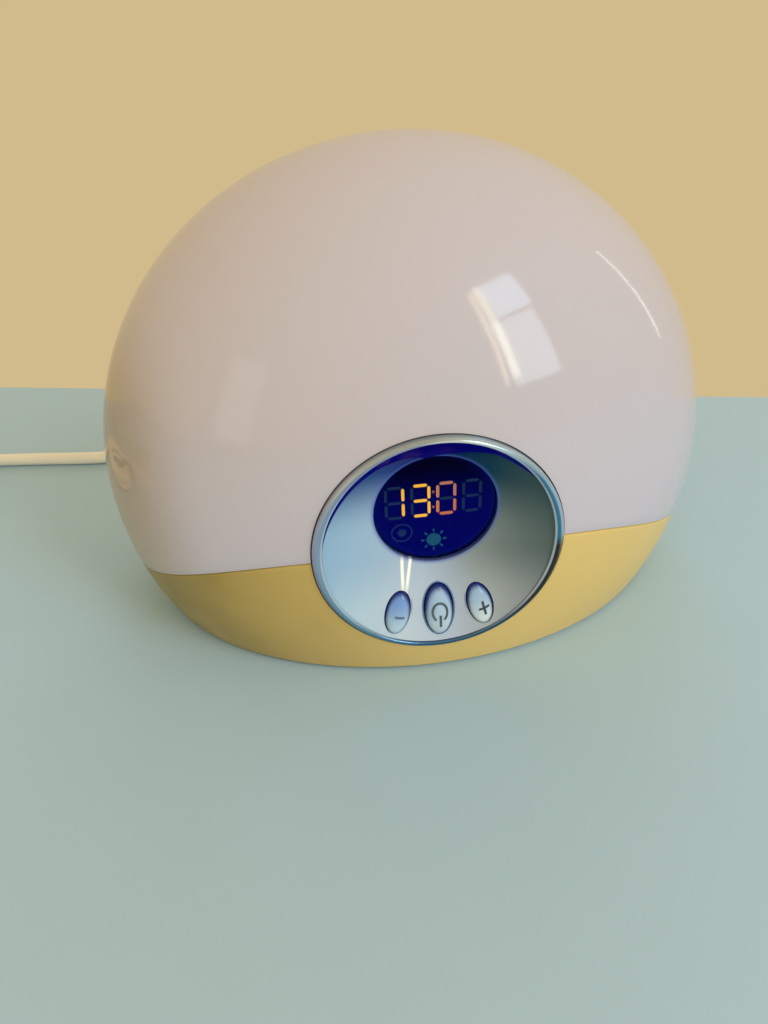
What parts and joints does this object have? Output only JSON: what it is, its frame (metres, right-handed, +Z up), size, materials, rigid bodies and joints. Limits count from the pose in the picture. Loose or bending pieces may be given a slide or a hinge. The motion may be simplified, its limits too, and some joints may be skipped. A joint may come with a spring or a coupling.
{
  "type": "sunrise alarm clock",
  "caption": "Free-standing wake-up light: milky dome lit by a lamp, on an arched base with a round control dial, display window and domed push buttons.",
  "frame": {"origin": "on the table, under the middle of the clock without its cord", "axes": "+Z up; the dial faces -Y; +X is to the right of someone who reads the dial"},
  "size_m": [0.3789, 0.1871, 0.145],
  "materials": {
    "dome_milky": "gloss, milky",
    "base_cream": "satin",
    "ring_chrome": "polished",
    "dish_silver": "satin",
    "window_navy": "gloss",
    "segment_amber": "lit",
    "segment_ghost": "unlit",
    "icon_teal": "lit",
    "button_ice": "gloss",
    "black_plastic": "matt",
    "white_plastic": "satin",
    "socket_ivory": "matt",
    "board_green": "coated",
    "steel": "plain",
    "core_steel": "varnished",
    "winding_tape": "taped",
    "capacitor_blue": "sleeved",
    "aluminium": "plain",
    "bulb_glass": "frosted",
    "fuse_glass": "clear",
    "wire_brown": "plain",
    "ribbon_grey": "plain",
    "foot_rubber": "matt",
    "cord_cream": "satin",
    "plug_cream": "satin",
    "pin_brass": "plain",
    "tie_black": "woven",
    "fuse_cover_grey": "matt"
  },
  "bodies": {
    "base": {"base_shell": "base_cream", "bottom_cover": "base_cream", "rubber_feet": "foot_rubber", "bottom_screws": "steel", "reflector_deck": "white_plastic", "deck_screws": "steel", "bezel_ring": "ring_chrome", "dial_dish": "dish_silver", "dial_housing": "white_plastic", "dial_screws": "steel", "display_window": "window_navy", "display_mask": "black_plastic", "lit_segments": "segment_amber", "unlit_segments": "segment_ghost", "display_icons": "icon_teal", "display_block": "white_plastic", "front_board": "board_green", "front_board_screws": "steel", "front_switches": "black_plastic", "heat_shield": "aluminium", "heat_shield_screws": "steel", "lamp_holder": "white_plastic", "bulb_cap": "steel", "bulb_glass": "bulb_glass", "bulb_filament": "steel", "lamp_wires": "wire_brown", "main_board": "board_green", "main_board_screws": "steel", "transformer_core": "core_steel", "transformer_winding": "winding_tape", "capacitors": "capacitor_blue", "heatsink": "aluminium", "triac": "black_plastic", "fuse": "fuse_glass", "buzzer": "black_plastic", "processor_chip": "black_plastic", "ribbon_cable": "ribbon_grey", "ribbon_sockets": "socket_ivory", "terminal_block": "board_green", "mains_wires": "wire_brown", "rear_board": "board_green", "rear_switches": "black_plastic", "slide_switch_body": "steel", "cord_gland": "cord_cream", "power_cord": "cord_cream", "cord_coil": "cord_cream", "cord_tail": "cord_cream", "cord_tie": "tie_black", "plug_body": "plug_cream", "plug_pins": "pin_brass", "plug_fuse_cover": "fuse_cover_grey"},
    "dome": {"diffuser": "dome_milky"},
    "minus": {"minus_button": "button_ice"},
    "power": {"power_button": "button_ice"},
    "plus": {"plus_button": "button_ice"},
    "time_set": {"time_set_button": "base_cream"},
    "alarm_set": {"alarm_set_button": "base_cream"},
    "switch_knob": {"slide_switch_knob": "black_plastic"}
  },
  "joints": [
    {"name": "dome_lift", "type": "slide", "parent": "base", "child": "dome", "axis": [0, 0, 1], "range_m": [0, 0.11]},
    {"name": "minus_press", "type": "slide", "parent": "base", "child": "minus", "axis": [0, 1, 0], "range_m": [0, 0.0008], "stiffness_N_per_m": 1500},
    {"name": "power_press", "type": "slide", "parent": "base", "child": "power", "axis": [0, 1, 0], "range_m": [0, 0.0008], "stiffness_N_per_m": 1500},
    {"name": "plus_press", "type": "slide", "parent": "base", "child": "plus", "axis": [0, 1, 0], "range_m": [0, 0.0008], "stiffness_N_per_m": 1500},
    {"name": "time_set_press", "type": "slide", "parent": "base", "child": "time_set", "axis": [0, -1, 0], "range_m": [0, 0.0008], "stiffness_N_per_m": 1500},
    {"name": "alarm_set_press", "type": "slide", "parent": "base", "child": "alarm_set", "axis": [0, -1, 0], "range_m": [0, 0.0008], "stiffness_N_per_m": 1500},
    {"name": "switch_slide", "type": "slide", "parent": "base", "child": "switch_knob", "axis": [1, 0, 0], "range_m": [0, 0.006]}
  ]
}
